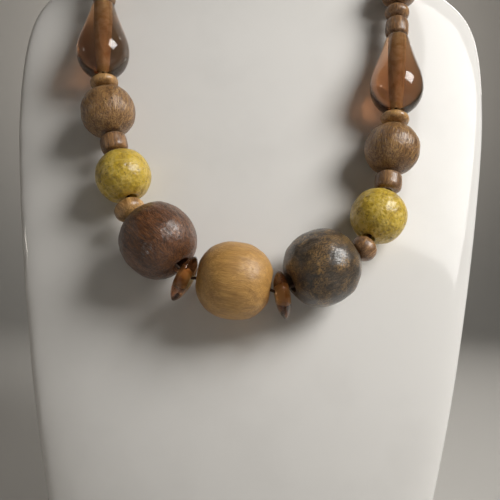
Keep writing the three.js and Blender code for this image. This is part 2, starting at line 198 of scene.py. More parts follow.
def bumped(tree: bpy.types.NodeTree, height: bpy.types.NodeSocket, depth_mm: float, strength: float = 1.0,
           over: bpy.types.NodeSocket | None = None) -> bpy.types.NodeSocket:
    """Turn a height into a bumpy normal.

    Args:
        tree: the node tree.
        height: the height from 0 to 1.
        depth_mm: what a height of 1 stands for.
        strength: share of the bump that shows.
        over: a bumpy normal that this one lies on.

    Returns:
        The normal.
    """
    inputs = {"Height": height, "Strength": strength, "Distance": depth_mm * MM}
    if over is not None:
        inputs["Normal"] = over
    return add_node(tree, "Bump", inputs=inputs).outputs["Normal"]


@dataclass(frozen=True)
class Finish:
    """A material wired from procedural nodes, with sizes in millimetres of the real thing."""

    name: str

    def surface(self, tree: bpy.types.NodeTree) -> bpy.types.NodeSocket:
        """Wire the surface.

        Args:
            tree: the material's node tree.

        Returns:
            The shader's output.
        """
        raise NotImplementedError

    def volume(self, tree: bpy.types.NodeTree) -> bpy.types.NodeSocket | None:
        """Wire what fills the piece.

        Args:
            tree: the material's node tree.

        Returns:
            The volume's output, or None for an opaque finish.
        """
        return None

    def build(self) -> bpy.types.Material:
        """Build the material.

        Returns:
            The finished material.
        """
        material = bpy.data.materials.new(self.name)
        material.use_nodes = True
        tree = material.node_tree
        tree.nodes.clear()
        ends = {"Surface": self.surface(tree)}
        filling = self.volume(tree)
        if filling is not None:
            ends["Volume"] = filling
        add_node(tree, "OutputMaterial", inputs=ends)
        LOG.info("%s: built", material.name)
        return material


@dataclass(frozen=True)
class VarnishedWood(Finish):
    """Turned hardwood, drilled along the grain and dipped in varnish, so the streaks run from hole
    to hole and the varnish lies as an uneven clear gloss over them.

    Args:
        pale: sRGB hex colour of the palest grain.
        middle: colour of the grain between.
        dark: colour of the darkest grain.
        pore: colour of the short pores.
        streak_mm: width of a streak.
        streak_length_mm: its length along the drilling.
        wander_mm: how far the streaks wander sideways.
        pore_share: noise value below which a pore opens.
        banding: strength of the broad darker bands.
        patch: colour of rubbed patches, or empty for none.
        patch_share: noise value above which a patch lies.
        groove_mm: depth of the grain.
        pit_mm: depth of the wider pits, or 0 for none.
        roughness: the wood's middle roughness below the varnish.
        varnish: share of the varnish.
        varnish_roughness: its roughness.
        drift_per_mm: how quickly the wandering turns.
        patch_mm: size of a patch across and along the drilling.
        tear_mm: size of the tears in a patch, across and along.
        pit_step_mm: distance between pits, across and along.
    """

    pale: str
    middle: str
    dark: str
    pore: str
    streak_mm: float = 0.5
    streak_length_mm: float = 9.0
    wander_mm: float = 1.2
    pore_share: float = 0.4
    banding: float = 0.85
    patch: str = ""
    patch_share: float = 0.5
    groove_mm: float = 0.08
    pit_mm: float = 0.0
    roughness: float = 0.42
    varnish: float = 0.7
    varnish_roughness: float = 0.14
    drift_per_mm: float = 0.14
    patch_mm: tuple[float, float] = (5.0, 5.5)
    tear_mm: tuple[float, float] = (0.3, 1.1)
    pit_step_mm: tuple[float, float] = (0.9, 1.2)

    def surface(self, tree: bpy.types.NodeTree) -> bpy.types.NodeSocket:
        """Wire the surface.

        Args:
            tree: the material's node tree.

        Returns:
            The shader's output.
        """
        own = own_coordinates(tree)
        drift = add_node(tree, "TexNoise", inputs={"Vector": own, "Scale": self.drift_per_mm,
                                                   "Detail": 2.0})
        centred = add_node(tree, "VectorMath", {"operation": "SUBTRACT"},
                           {0: drift.outputs["Color"], 1: (0.5, 0.5, 0.5)})
        reach = (self.wander_mm * 2.0,) * 3
        bent = add_node(tree, "VectorMath", {"operation": "MULTIPLY_ADD"},
                        {0: centred.outputs[0], 1: reach, 2: own}).outputs[0]
        streak = noise(tree, stretched(tree, bent, self.streak_mm, self.streak_length_mm), 4.0, 0.6)
        band = noise(tree, stretched(tree, bent, self.streak_mm * 5, self.streak_length_mm * 2), 2.0)
        colour = add_ramp(tree, streak, [(0.3, self.dark), (0.5, self.middle), (0.68, self.pale)])
        banded = add_ramp(tree, band, [(0.36, "b9aea4"), (0.6, "ffffff")])
        colour = tinted(tree, self.banding, colour, banded, "MULTIPLY")
        if self.patch:
            cloud = noise(tree, stretched(tree, own, *self.patch_mm), 3.0, 0.6)
            where = masked(tree, cloud, self.patch_share - 0.04, self.patch_share + 0.12)
            torn = noise(tree, stretched(tree, bent, *self.tear_mm), 4.0, 0.7)
            torn = masked(tree, torn, 0.44, 0.6)
            where = add_node(tree, "Math", {"operation": "MULTIPLY"}, {0: where, 1: torn}).outputs[0]
            colour = tinted(tree, where, colour, linear(self.patch))
        short = stretched(tree, bent, self.streak_mm * 0.38, self.streak_length_mm * 0.3)
        dash = noise(tree, short, 2.0)
        pores = masked(tree, dash, self.pore_share, self.pore_share - 0.08)
        colour = tinted(tree, pores, colour, linear(self.pore))
        height = add_node(tree, "Math", {"operation": "SUBTRACT"}, {0: streak, 1: pores}).outputs[0]
        bump = bumped(tree, height, self.groove_mm, 0.9)
        if self.pit_mm:
            pits = noise(tree, stretched(tree, own, *self.pit_step_mm), 2.5, 0.6)
            bump = bumped(tree, pits, self.pit_mm, over=bump)
        gloss = add_node(tree, "MapRange", inputs={"Value": streak, "To Min": self.roughness + 0.1,
                                                   "To Max": self.roughness - 0.08})
        return add_node(tree, "BsdfPrincipled", inputs={
            "Base Color": colour, "Roughness": gloss.outputs[0], "IOR": 1.5, "Normal": bump,
            "Coat Weight": self.varnish, "Coat Roughness": self.varnish_roughness,
            "Coat IOR": 1.5, "Coat Normal": bump}).outputs["BSDF"]


@dataclass(frozen=True)
class MottledStone(Finish):
    """Polished yellow stone with olive and brown clouds, whose softer spots have worn into small
    dents, so the highlight breaks up.

    Args:
        lemon: sRGB hex colour of most of the stone.
        olive: colour of the darker clouds and specks.
        pale: colour of the lighter clouds.
        brown: colour of the blots.
        rim: colour of the healed cracks.
        rim_share: how strongly the cracks show.
        cloud_mm: size of a cloud.
        cell_mm: distance between cracks.
        blot_mm: size of a blot.
        fine_mm: size of a speck.
        dimple_mm: distance between dents.
        dimple_depth_mm: their depth.
        wave_depth_mm: depth of the waves between them.
    """

    name: str = "polished_yellow_stone"
    lemon: str = "cdad3c"
    olive: str = "9a7f3b"
    pale: str = "dfc46a"
    brown: str = "6b5a2a"
    rim: str = "e0c874"
    rim_share: float = 0.3
    cloud_mm: float = 3.4
    cell_mm: float = 3.6
    blot_mm: float = 2.1
    fine_mm: float = 0.8
    dimple_mm: float = 1.1
    dimple_depth_mm: float = 0.22
    wave_depth_mm: float = 0.08

    def surface(self, tree: bpy.types.NodeTree) -> bpy.types.NodeSocket:
        """Wire the surface.

        Args:
            tree: the material's node tree.

        Returns:
            The shader's output.
        """
        own = own_coordinates(tree)
        cloud = noise(tree, stretched(tree, own, self.cloud_mm, self.cloud_mm), 5.0, 0.65, 0.6)
        fine = noise(tree, stretched(tree, own, self.fine_mm, self.fine_mm), 4.0, 0.7)
        colour = add_ramp(tree, cloud, [(0.34, self.olive), (0.5, self.lemon), (0.66, self.pale)])
        colour = tinted(tree, masked(tree, fine, 0.52, 0.7), colour, linear(self.olive))
        cells = add_node(tree, "TexVoronoi", {"feature": "DISTANCE_TO_EDGE"},
                         {"Vector": stretched(tree, own, self.cell_mm, self.cell_mm), "Scale": 1.0})
        rims = masked(tree, cells.outputs["Distance"], 0.1, 0.02)
        rims = add_node(tree, "Math", {"operation": "MULTIPLY"}, {0: rims, 1: self.rim_share}).outputs[0]
        colour = tinted(tree, rims, colour, linear(self.rim))
        blot = noise(tree, stretched(tree, own, self.blot_mm, self.blot_mm), 4.0, 0.75)
        colour = tinted(tree, masked(tree, blot, 0.6, 0.7), colour, linear(self.brown))
        dimple = add_node(tree, "TexVoronoi", {"feature": "SMOOTH_F1"},
                          {"Vector": stretched(tree, own, self.dimple_mm, self.dimple_mm), "Scale": 1.0})
        dents = bumped(tree, dimple.outputs["Distance"], self.dimple_depth_mm)
        waves = bumped(tree, fine, self.wave_depth_mm, over=dents)
        return add_node(tree, "BsdfPrincipled", inputs={
            "Base Color": colour, "Roughness": 0.36, "IOR": 1.5, "Normal": waves,
            "Subsurface Weight": 0.15, "Subsurface Scale": 1.5 * MM,
            "Subsurface Radius": (1.0, 0.8, 0.2), "Specular IOR Level": 0.4,
            "Coat Weight": 0.25, "Coat Roughness": 0.12, "Coat Normal": waves}).outputs["BSDF"]


@dataclass(frozen=True)
class ClearResin(Finish):
    """Cast and polished amber-brown resin. Light passes it and is tinted by the depth of resin it
    crosses, so thick flanks look dark and a shadow beside it glows orange.

    Args:
        pass_colour: linear colour that the depth lets through.
        depth_per_m: how quickly it is tinted.
        clearness: share of the light that enters.
        skin: sRGB hex colour of the surface.
        ripple_mm: size of a ripple across and along the drilling.
    """

    pass_colour: tuple[float, float, float]
    depth_per_m: float
    clearness: float = 0.9
    skin: str = "f5d9b4"
    ripple_mm: tuple[float, float] = (5.0, 9.0)

    def surface(self, tree: bpy.types.NodeTree) -> bpy.types.NodeSocket:
        """Wire the surface.

        Args:
            tree: the material's node tree.

        Returns:
            The shader's output.
        """
        own = own_coordinates(tree)
        swirl = noise(tree, stretched(tree, own, *self.ripple_mm), 2.0)
        return add_node(tree, "BsdfPrincipled", inputs={
            "Base Color": linear(self.skin), "Roughness": 0.03, "IOR": RESIN_IOR,
            "Transmission Weight": self.clearness,
            "Normal": bumped(tree, swirl, 0.12, 0.5)}).outputs["BSDF"]

    def volume(self, tree: bpy.types.NodeTree) -> bpy.types.NodeSocket:
        """Wire the tint that grows with the depth of resin.

        Args:
            tree: the material's node tree.

        Returns:
            The volume's output.
        """
        return add_node(tree, "VolumeAbsorption", inputs={
            "Color": (*self.pass_colour, 1.0), "Density": self.depth_per_m}).outputs["Volume"]


@dataclass(frozen=True)
class DrilledResin(Finish):
    """The rough wall that the drill leaves in the resin. It scatters the light that passes it and
    shows through the resin, much enlarged, as a frosted column."""

    name: str = "drilled_resin_wall"
    pale: str = "f8e4b4"
    burnt: str = "d8b277"

    def surface(self, tree: bpy.types.NodeTree) -> bpy.types.NodeSocket:
        """Wire the surface.

        Args:
            tree: the material's node tree.

        Returns:
            The shader's output.
        """
        own = own_coordinates(tree)
        marks = noise(tree, stretched(tree, own, 2.0, 3.0), 3.0)
        colour = add_ramp(tree, marks, [(0.35, self.burnt), (0.6, self.pale)])
        return add_node(tree, "BsdfPrincipled", inputs={
            "Base Color": colour, "Roughness": 0.5, "IOR": RESIN_IOR,
            "Transmission Weight": 0.2}).outputs["BSDF"]


@dataclass(frozen=True)
class GlossPlastic(Finish):
    """Moulded white styrene with a high gloss, faint rub marks and a slightly uneven skin."""

    name: str = "moulded_white_plastic"
    white: str = "e8e6e3"
    rubbed: str = "e4e2df"
    cloud_mm: float = 30.0
    scuff_mm: tuple[float, float] = (3.0, 9.0)

    def surface(self, tree: bpy.types.NodeTree) -> bpy.types.NodeSocket:
        """Wire the surface.

        Args:
            tree: the material's node tree.

        Returns:
            The shader's output.
        """
        place = add_node(tree, "TexCoord").outputs["Object"]
        cloud = noise(tree, stretched(tree, place, self.cloud_mm * MM, self.cloud_mm * MM), 3.0)
        scuff = noise(tree, stretched(tree, place, *(size * MM for size in self.scuff_mm)), 4.0, 0.7)
        colour = tinted(tree, masked(tree, cloud, 0.45, 0.7), linear(self.white), linear(self.rubbed))
        worn = add_node(tree, "MapRange", inputs={"Value": scuff, "From Min": 0.55, "From Max": 0.75,
                                                  "To Min": 0.09, "To Max": 0.16})
        return add_node(tree, "BsdfPrincipled", inputs={
            "Base Color": colour, "Roughness": worn.outputs[0], "IOR": 1.5,
            "Specular IOR Level": 0.18, "Normal": bumped(tree, cloud, 0.2, 0.3)}).outputs["BSDF"]


@dataclass(frozen=True)
class WaxedCord(Finish):
    """Twisted, waxed beading thread in dark brown."""

    name: str = "waxed_cord"
    fibre_mm: float = 0.3

    def surface(self, tree: bpy.types.NodeTree) -> bpy.types.NodeSocket:
        """Wire the surface.

        Args:
            tree: the material's node tree.

        Returns:
            The shader's output.
        """
        place = add_node(tree, "TexCoord").outputs["Object"]
        fibre = noise(tree, stretched(tree, place, self.fibre_mm * MM, self.fibre_mm * MM), 3.0)
        colour = add_ramp(tree, fibre, [(0.35, "2a1d15"), (0.65, "5a4230")])
        return add_node(tree, "BsdfPrincipled", inputs={
            "Base Color": colour, "Roughness": 0.7, "Normal": bumped(tree, fibre, 0.1),
            "Sheen Weight": 0.2}).outputs["BSDF"]


@dataclass(frozen=True)
class DullBrass(Finish):
    """Lacquered brass gone dull, with finer turning marks round the barrel."""

    name: str = "dulled_brass"
    tarnish_mm: float = 1.6
    ring_mm: tuple[float, float] = (40.0, 0.12)

    def surface(self, tree: bpy.types.NodeTree) -> bpy.types.NodeSocket:
        """Wire the surface.

        Args:
            tree: the material's node tree.

        Returns:
            The shader's output.
        """
        own = own_coordinates(tree)
        tarnish = noise(tree, stretched(tree, own, self.tarnish_mm, self.tarnish_mm), 4.0, 0.7)
        rings = noise(tree, stretched(tree, own, *self.ring_mm), 2.0)
        colour = add_ramp(tree, tarnish, [(0.35, "6e5426"), (0.65, "b08d4a")])
        return add_node(tree, "BsdfPrincipled", inputs={
            "Base Color": colour, "Metallic": 1.0, "Roughness": 0.36,
            "Normal": bumped(tree, rings, 0.05, 0.5)}).outputs["BSDF"]


@dataclass(frozen=True)
class StudioPaper(Finish):
    """Matt pale paper for the floor and the backdrop."""

    name: str = "studio_paper"
    shade: str = "afada9"

    def surface(self, tree: bpy.types.NodeTree) -> bpy.types.NodeSocket:
        """Wire the surface.

        Args:
            tree: the material's node tree.

        Returns:
            The shader's output.
        """
        return add_node(tree, "BsdfPrincipled", inputs={
            "Base Color": linear(self.shade), "Roughness": 0.8}).outputs["BSDF"]


class Wood(Enum):
    """The woods of the beads."""

    TAN = VarnishedWood("tan_varnished_wood", "d6a862", "c49552", "b08044", "8f642f",
                        streak_mm=0.3, streak_length_mm=4.0, wander_mm=0.8, pore_share=0.34,
                        banding=0.4, varnish=0.4, varnish_roughness=0.3, groove_mm=0.12,
                        roughness=0.5)
    PALE = VarnishedWood("pale_varnished_wood", "dfb377", "c89a5e", "9e7444", "7a5633",
                         streak_mm=0.36, streak_length_mm=5.0, pore_share=0.38, pit_mm=0.05)
    PALM = VarnishedWood("palm_wood", "c9a166", "a77c4a", "6e4d31", "402a19", streak_mm=0.45,
                         streak_length_mm=5.5, wander_mm=1.8, pore_share=0.44, groove_mm=0.24,
                         varnish=0.6, pit_mm=0.05)
    BROWN = VarnishedWood("dark_red_brown_wood", "98633a", "6d4529", "3e2718", "1d130d",
                          streak_mm=0.5, streak_length_mm=5.5, wander_mm=2.2, pore_share=0.43,
                          patch="7b4c2d", patch_share=0.54, groove_mm=0.16, pit_mm=0.16,
                          varnish=0.65, varnish_roughness=0.07)
    BLACK = VarnishedWood("black_brown_wood", "6b5741", "4a3f32", "2c2620", "17130f",
                          streak_mm=0.4, streak_length_mm=2.2, wander_mm=2.6, pore_share=0.4,
                          patch="997748", patch_share=0.47, pit_mm=0.11, varnish=0.7,
                          varnish_roughness=0.18)
    SMALL = VarnishedWood("small_brown_wood", "c0925f", "99724b", "674c34", "3d2b1f",
                          streak_mm=0.35, streak_length_mm=6.0, varnish=0.6, pit_mm=0.06,
                          varnish_roughness=0.16)


@dataclass
class Relief:
    """Shallow unevenness that a modifier presses into a bead.

    Args:
        kind: Blender's texture type.
        size_mm: size of one dent.
        depth_mm: how deep the deepest dent goes.
        stretch: how much longer a dent is along the drilling.
    """

    kind: str
    size_mm: float
    depth_mm: float
    stretch: float = 1.0


END_ZONE = 0.2  # a bead's ends start this share of its length from the middle
LEAST_TAPER = 0.5 * MM  # a smaller difference between its ends is no taper


@dataclass
class Seat:
    """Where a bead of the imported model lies, read from its node.

    Args:
        centre: middle of its length, on its axis.
        axis: unit vector along its drilling.
        length: its length along the axis.
        radius: its largest radius.
        bore: the radius of its hole.
    """

    centre: Vector
    axis: Vector
    length: float
    radius: float
    bore: float

    @classmethod
    def of(cls, node: str) -> "Seat":
        """Read a bead's place, size and drilling from its node.

        Args:
            node: the node's name. The flat ends round its hole face along the drilling.

        Returns:
            The seat, with a tapering bead's axis pointing to its narrow end.
        """
        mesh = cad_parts[node].data
        normals = Counter(tuple(round(c, 3) for c in face.normal) for face in mesh.polygons)
        axis = Vector(normals.most_common(1)[0][0]).normalized()
        points = {tuple(round(c, 6) for c in vertex.co): vertex.co.copy() for vertex in mesh.vertices}
        middle = sum(points.values(), Vector()) / len(points)
        along = {key: (point - middle).dot(axis) for key, point in points.items()}
        low, high = min(along.values()), max(along.values())
        off = {key: (points[key] - middle - axis * along[key]).length for key in points}
        halfway = (low + high) / 2
        zone = (high - low) * END_ZONE
        upper = max(off[key] for key in points if along[key] > halfway + zone)
        lower = max(off[key] for key in points if along[key] < halfway - zone)
        if upper > lower + LEAST_TAPER:
            axis, low, high = -axis, -high, -low
            halfway = -halfway
        return cls(middle + axis * halfway, axis, high - low, max(off.values()), min(off.values()))

    def matrix(self) -> Matrix:
        """Work out the turn and move from the bead's own coordinates to its place.

        Returns:
            The matrix.
        """
        turn = Vector((0, 0, 1)).rotation_difference(self.axis)
        return Matrix.Translation(self.centre) @ turn.to_matrix().to_4x4()


class Outline(Enum):
    """Outlines of the beads, as they come off the lathe or out of the mould."""

    ROUND = "round"
    BARREL = "barrel"
    DISC = "disc"
    TEARDROP = "teardrop"
    CLASP = "clasp"


# Shares of the length and of the radius, from the wide end up, smoothed when they are read
TABLES = {
    Outline.BARREL: [(0.0, 0.72), (0.08, 0.9), (0.25, 0.985), (0.5, 1.0), (0.75, 0.985), (0.92, 0.9),
                     (1.0, 0.72)],
    Outline.DISC: [(0.0, 0.4), (0.06, 0.58), (0.22, 0.82), (0.4, 0.965), (0.5, 1.0), (0.6, 0.965),
                   (0.78, 0.82), (0.94, 0.58), (1.0, 0.4)],
    Outline.TEARDROP: [(0.0, 0.3), (0.035, 0.54), (0.1, 0.77), (0.19, 0.935), (0.3, 1.0), (0.42, 0.96),
                       (0.55, 0.84), (0.7, 0.68), (0.85, 0.535), (0.96, 0.445), (1.0, 0.37)],
    Outline.CLASP: [(0.0, 0.66), (0.05, 0.86), (0.12, 0.92), (0.16, 0.8), (0.2, 0.96), (0.5, 1.0),
                    (0.8, 0.96), (0.84, 0.8), (0.88, 0.92), (0.95, 0.86), (1.0, 0.66)],
}
TABLE_STEPS = 5  # points between two rows
ROUND_POWER = 2.2  # a little fuller than a ball
ROUND_STEPS = 20  # points from the middle of a round outline to its end
LIP = 0.35 * MM  # how far the mouth of a hole is rounded
LIP_CORNER = 0.3  # share of the lip that its rounding leaves standing
FINE_SIDES = 128
COARSE_SIDES = 64
RELIEF_STEP = (0.013, 0.007, 0.011)  # how much further on the next bead reads its reliefs
PATTERN_STEP_MM = Vector((17.0, 29.0, 41.0))  # and its finish
SMOOTH_ANGLE = math.radians(50)  # sharper edges stay crisp
BORE_MARGIN = 1.02  # faces nearer the axis than this share of the hole's radius are its wall


def smooth_table(rows: list[tuple[float, float]], steps: int) -> list[tuple[float, float]]:
    """Run a smooth curve through the rows of a table.

    Args:
        rows: pairs of shares.
        steps: points for each gap between rows.

    Returns:
        The pairs along the curve.
    """
    points = []
    for i in range(len(rows) - 1):
        near = [Vector(rows[min(len(rows) - 1, max(0, k))]) for k in (i - 1, i, i + 1, i + 2)]
        for step in range(steps):
            t = step / steps
            bend = (near[2] - near[0]) * t + (2 * near[0] - 5 * near[1] + 4 * near[2] - near[3]) * t * t
            bend += (3 * near[1] - near[0] - 3 * near[2] + near[3]) * t ** 3
            points.append(tuple(near[1] + bend / 2))
    return points + [rows[-1]]


def select_only(piece: bpy.types.Object) -> None:
    """Make a piece the only selected and the active one.

    Args:
        piece: the piece.
    """
    bpy.ops.object.select_all(action="DESELECT")
    piece.select_set(True)
    bpy.context.view_layer.objects.active = piece


@dataclass
class Bead:
    """A drilled bead, turned in its own coordinates and then set on its seat.

    Args:
        node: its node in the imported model.
        finish: its material.
        outline: its outline.
        flat: radius of a round bead's flat end, as a share of its own.
        sides: number of sides.
        reliefs: what is pressed into it.
        bore_finish: the material of its hole, where it shows through.
        number: its place in the list, which sets its reliefs and patterns apart.
    """

    node: str
    finish: bpy.types.Material
    outline: Outline = Outline.ROUND
    flat: float = 0.36
    sides: int = 96
    reliefs: list[Relief] = field(default_factory=list)
    bore_finish: bpy.types.Material | None = None
    number: int = 0

    def profile(self, seat: Seat) -> list[tuple[float, float]]:
        """Work out the closed outline from one mouth of the hole round to it again.

        Args:
            seat: the bead's sizes.

        Returns:
            Pairs of radius and height, in metres.
        """
        half = seat.length / 2
        if self.outline is Outline.ROUND:
            reach = half / (1 - self.flat ** ROUND_POWER) ** (1 / ROUND_POWER)
            last = math.asin((half / reach) ** (ROUND_POWER / 2))
            outer = []
            for i in range(2 * ROUND_STEPS + 1):
                angle = last * (i / ROUND_STEPS - 1)
                height = math.copysign(abs(math.sin(angle)) ** (2 / ROUND_POWER), angle) * reach
                outer.append((seat.radius * math.cos(angle) ** (2 / ROUND_POWER), height))
        else:
            rows = smooth_table(TABLES[self.outline], TABLE_STEPS)
            outer = [(wide * seat.radius, (along * 2 - 1) * half) for along, wide in rows]
        lip = min(LIP, (outer[0][0] - seat.bore) / 2)
        corner = lip * LIP_CORNER
        soften = [(seat.bore + lip, 0.0), (seat.bore + corner, corner), (seat.bore, lip)]
        top = [(radius, half - drop) for radius, drop in soften]
        bottom = [(radius, drop - half) for radius, drop in reversed(soften)]
        return outer + top + bottom

    def turn(self, seat: Seat) -> bpy.types.Object:
        """Spin the outline into a closed bead at the origin.

        Args:
            seat: the bead's sizes.

        Returns:
            The new piece.
        """
        profile = self.profile(seat)
        bpy.ops.object.select_all(action="DESELECT")
        bpy.ops.mesh.primitive_plane_add(size=MM, location=(0, 0, 0))
        piece = bpy.context.active_object
        bpy.ops.object.mode_set(mode="EDIT")
        bpy.ops.mesh.select_all(action="SELECT")
        bpy.ops.mesh.merge(type="CENTER")
        bpy.ops.transform.translate(value=(profile[0][0], 0, profile[0][1]))
        for (r0, z0), (r1, z1) in zip(profile, profile[1:] + profile[:1]):
            step = (r1 - r0, 0, z1 - z0)
            bpy.ops.mesh.extrude_region_move(TRANSFORM_OT_translate={"value": step})
        bpy.ops.mesh.select_all(action="SELECT")
        bpy.ops.mesh.remove_doubles(threshold=WELD / 2)
        bpy.ops.mesh.select_all(action="SELECT")
        bpy.ops.mesh.spin(steps=self.sides, angle=2 * math.pi, center=(0, 0, 0), axis=(0, 0, 1))
        bpy.ops.mesh.select_all(action="SELECT")
        bpy.ops.mesh.remove_doubles(threshold=WELD)
        bpy.ops.mesh.select_all(action="SELECT")
        bpy.ops.mesh.normals_make_consistent(inside=False)
        bpy.ops.object.mode_set(mode="OBJECT")
        return piece

    def press(self, piece: bpy.types.Object) -> None:
        """Press the reliefs into the piece, always inwards, so that it stays inside its size.

        Args:
            piece: the turned bead.
        """
        for i, relief in enumerate(self.reliefs):
            guide = bpy.data.objects.new("relief_guide", None)
            bpy.context.collection.objects.link(guide)
            counts = (self.number, i, self.number)
            guide.location = [step * count for step, count in zip(RELIEF_STEP, counts)]
            guide.scale = (1, 1, relief.stretch)
            texture = bpy.data.textures.new("relief", relief.kind)
            texture.noise_scale = relief.size_mm * MM
            select_only(piece)
            press = piece.modifiers.new("relief", "DISPLACE")
            press.texture = texture
            press.texture_coords = "OBJECT"
            press.texture_coords_object = guide
            press.mid_level = 1.0
            press.strength = relief.depth_mm * MM
            bpy.context.view_layer.update()
            bpy.ops.object.modifier_apply(modifier=press.name)
            bpy.data.objects.remove(guide)

    def build(self) -> bpy.types.Object:
        """Model, finish and place the bead.

        Returns:
            The finished piece, riding on the root body in place of its node.
        """
        seat = Seat.of(self.node)
        piece = self.turn(seat)
        piece.name = piece.data.name = f"{self.node}_turned"
        self.press(piece)
        own = piece.data.attributes.new(LOCAL_MM, "FLOAT_VECTOR", "POINT")
        shift = PATTERN_STEP_MM * self.number
        for vertex, entry in zip(piece.data.vertices, own.data):
            entry.vector = vertex.co / MM + shift
        select_only(piece)
        bpy.ops.object.shade_smooth_by_angle(angle=SMOOTH_ANGLE)
        piece.matrix_world = seat.matrix()
        bpy.context.view_layer.update()
        bpy.ops.object.transform_apply(location=True, rotation=True, scale=True)
        piece.data.materials.append(self.finish)
        if self.bore_finish:
            piece.data.materials.append(self.bore_finish)
            for face in piece.data.polygons:
                off = face.center - seat.centre
                off -= seat.axis * off.dot(seat.axis)
                face.material_index = int(off.length < seat.bore * BORE_MARGIN)
        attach(piece, "root")
        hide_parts(self.node)
        LOG.info("%s: %d faces", piece.name, len(piece.data.polygons))
        return piece


@dataclass
class Bust:
    """The moulded neck bust, its packed skin made fine and smooth.

    Args:
        finish: its material.
        fineness: how often its faces are divided.
        joined_degrees: largest bend over which two triangles become one face.
    """

    finish: bpy.types.Material
    fineness: int = 2
    joined_degrees: float = 60.0

    def build(self) -> bpy.types.Object:
        """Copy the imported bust, join its faces and round them.

        Returns:
            The finished piece.
        """
        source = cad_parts["neck_bust"]
        piece = bpy.data.objects.new("neck_bust_moulded", source.data.copy())
        bpy.context.collection.objects.link(piece)
        select_only(piece)
        bpy.ops.object.mode_set(mode="EDIT")
        bpy.ops.mesh.select_all(action="SELECT")
        bpy.ops.mesh.remove_doubles(threshold=WELD)
        bpy.ops.mesh.select_all(action="SELECT")
        bend = math.radians(self.joined_degrees)
        bpy.ops.mesh.tris_convert_to_quads(face_threshold=bend, shape_threshold=bend)
        bpy.ops.object.mode_set(mode="OBJECT")
        smooth = piece.modifiers.new("rounding", "SUBSURF")
        smooth.levels = smooth.render_levels = self.fineness
        bpy.ops.object.modifier_apply(modifier=smooth.name)
        bpy.ops.object.shade_smooth()
        piece.data.materials.clear()
        piece.data.materials.append(self.finish)
        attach(piece, "root")
        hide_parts("neck_bust")
        LOG.info("%s: %d faces", piece.name, len(piece.data.polygons))
        return piece


class Necklace:
    """All that is threaded on the cord."""

    def beads(self) -> list[Bead]:
        """Describe every bead with its outline, finish and relief.

        Returns:
            The beads, not yet built.
        """
        woods = {wood: wood.value.build() for wood in Wood}
        stone = MottledStone().build()
        teardrop = ClearResin("amber_brown_resin", (0.5, 0.22, 0.0), 122.0, clearness=0.95).build()
        disc = ClearResin("clear_amber_resin", (0.55, 0.28, 0.05), 180.0, clearness=1.0).build()
        bore = DrilledResin().build()
        brass = DullBrass().build()
        uneven = Relief("CLOUDS", 9.0, 0.5)
        worn = Relief("CLOUDS", 4.5, 0.35)
        grooves = Relief("CLOUDS", 1.1, 0.28, 8.0)
        hammered = Relief("VORONOI", 5.0, 0.45)
        dented = Relief("CLOUDS", 2.4, 0.16)
        ridged = Relief("CLOUDS", 1.7, 0.34, 5.0)
        listed = [
            Bead("tan_centre_bead", woods[Wood.TAN], flat=0.4, sides=FINE_SIDES,
                 reliefs=[uneven, Relief("CLOUDS", 1.2, 0.1, 8.0)]),
            Bead("clasp", brass, Outline.CLASP, sides=COARSE_SIDES),
        ]
        for side in ("left", "right"):
            dark = woods[Wood.BROWN if side == "left" else Wood.BLACK]
            low = woods[Wood.PALE if side == "left" else Wood.SMALL]
            beat = [worn, dented, ridged] if side == "left" else [hammered, worn]
            listed += [
                Bead(f"amber_disc_{side}", disc, Outline.DISC, bore_finish=bore),
                Bead(f"dark_wood_bead_{side}", dark, sides=FINE_SIDES, reliefs=beat),
                Bead(f"small_bead_low_{side}", low, flat=0.42, reliefs=[worn]),
                Bead(f"yellow_stone_bead_{side}", stone, flat=0.3, sides=FINE_SIDES,
                     reliefs=[worn, Relief("CLOUDS", 1.6, 0.16)]),
                Bead(f"cylinder_bead_low_{side}", woods[Wood.SMALL], Outline.BARREL, reliefs=[worn]),
                Bead(f"grained_wood_bead_{side}", woods[Wood.PALM], sides=FINE_SIDES,
                     reliefs=[uneven, grooves]),
                Bead(f"rondelle_bead_{side}", woods[Wood.PALE], flat=0.5, reliefs=[worn]),
                Bead(f"teardrop_bead_{side}", teardrop, Outline.TEARDROP, bore_finish=bore),
                Bead(f"cylinder_bead_high_{side}", woods[Wood.SMALL], Outline.BARREL, reliefs=[worn]),
                Bead(f"small_bead_high_{side}", woods[Wood.SMALL], flat=0.45, reliefs=[worn]),
                Bead(f"top_wood_bead_{side}", woods[Wood.SMALL], reliefs=[worn]),
            ]
        hidden = sorted(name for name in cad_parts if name.startswith("hidden_bead"))
        listed += [Bead(name, woods[Wood.SMALL], flat=0.38, sides=COARSE_SIDES, reliefs=[worn])
                   for name in hidden]
        for number, bead in enumerate(listed):
            bead.number = number
        return listed

    def build(self) -> None:
        """Build every bead, and give the thread its finish."""
        for bead in self.beads():
            bead.build()
        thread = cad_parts["thread"]
        thread.data.materials.clear()
        thread.data.materials.append(WaxedCord().build())
        LOG.info("thread: finished")


